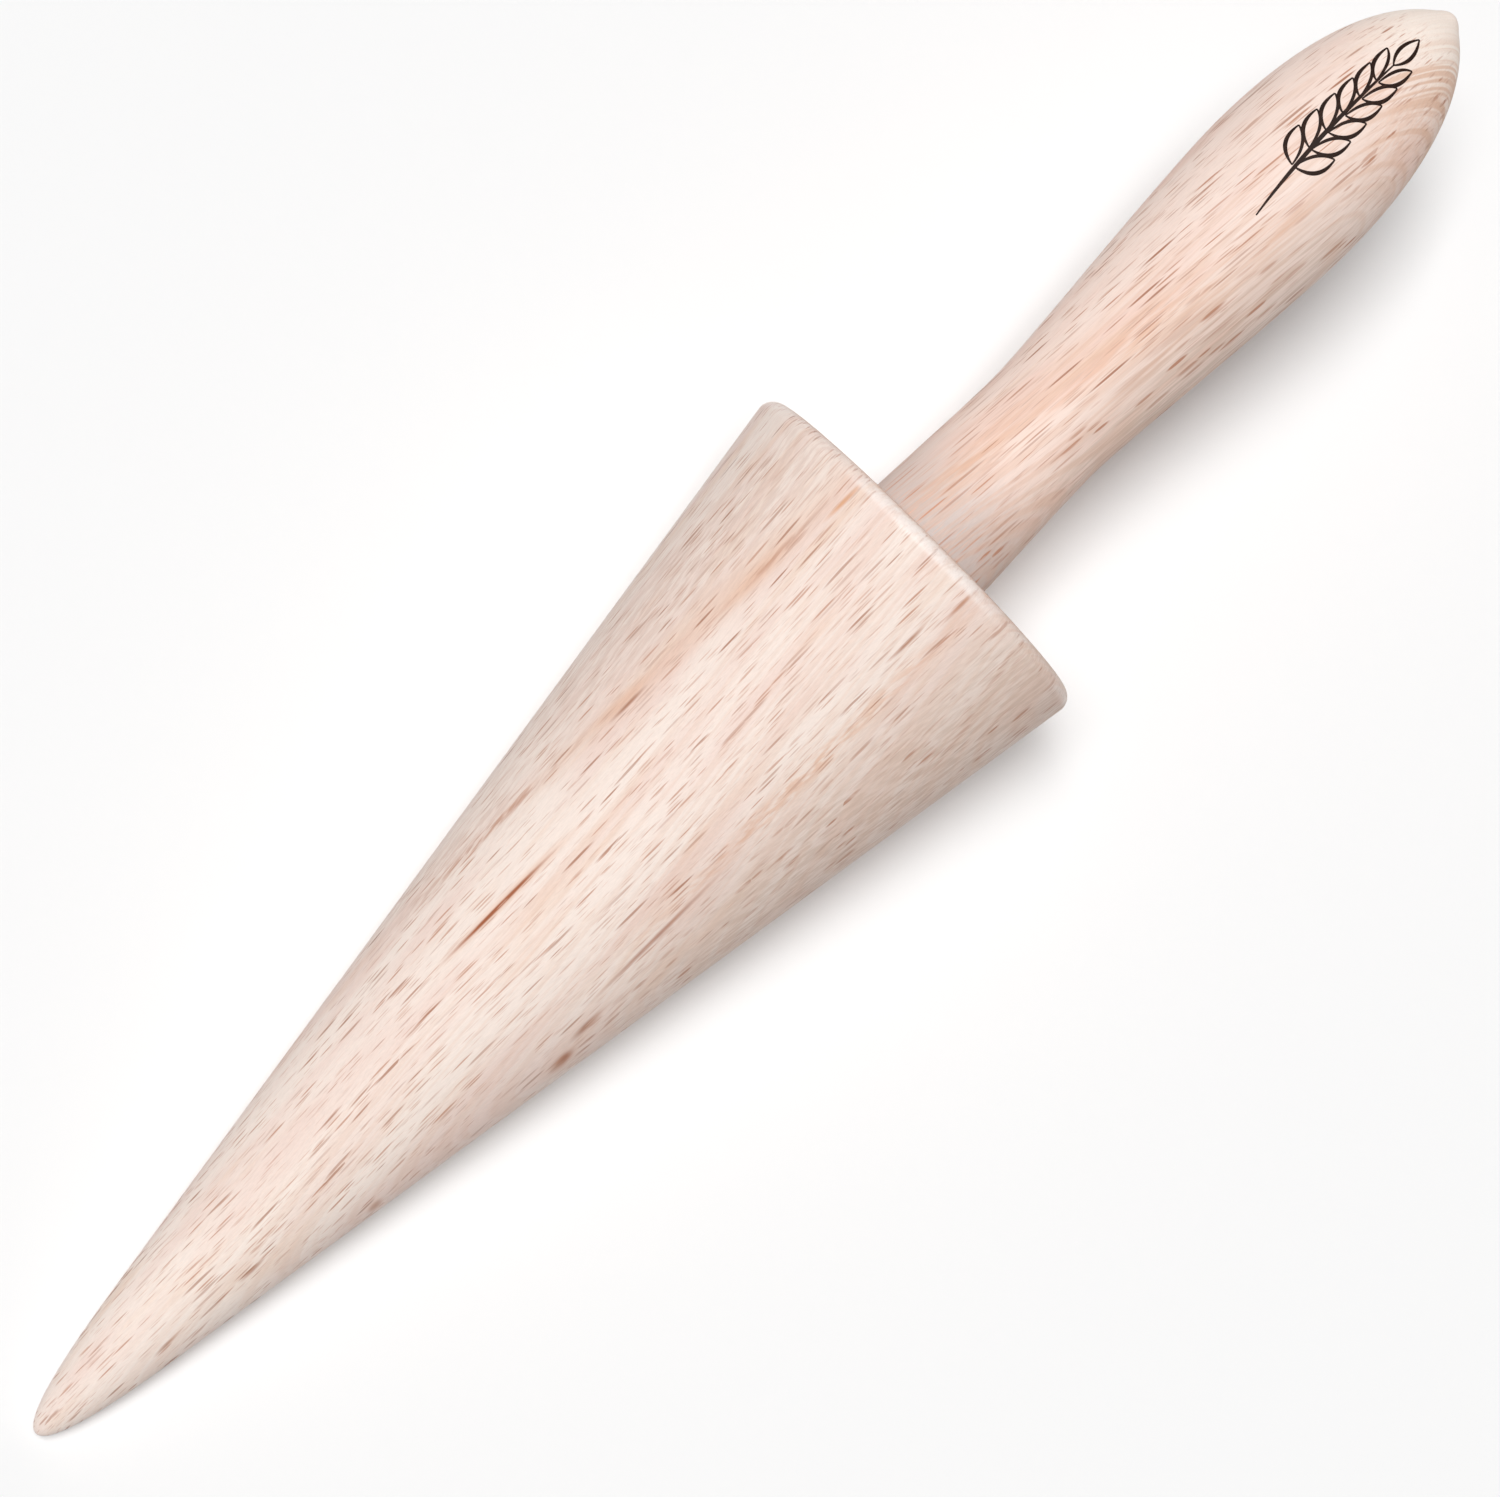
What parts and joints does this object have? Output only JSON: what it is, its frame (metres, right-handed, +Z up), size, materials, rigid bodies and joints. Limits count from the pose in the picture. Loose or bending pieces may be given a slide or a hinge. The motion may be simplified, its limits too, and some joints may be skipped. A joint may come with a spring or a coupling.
{
  "type": "cone roller",
  "caption": "Turned beech roller for shaping warm wafers into cones: a blunt-nosed solid cone with a waisted, swelling handle glued into its base.",
  "frame": {"origin": "under the middle of the roller's box, on the surface that it lies on", "axes": "+X runs from the cone's tip to the handle's end, +Z is up, and +Y is across; the roller lies on the side of its cone, so its turning axis rises 8.7 degrees from tip to handle"},
  "size_m": [0.2072, 0.0444, 0.044],
  "materials": {
    "cone_beech": "matte",
    "handle_beech": "matte",
    "cured_glue": "satin",
    "stamped_ink": "matte"
  },
  "bodies": {
    "root": {"forming_cone": "cone_beech", "handle": "handle_beech", "glue_film": "cured_glue"}
  },
  "joints": []
}
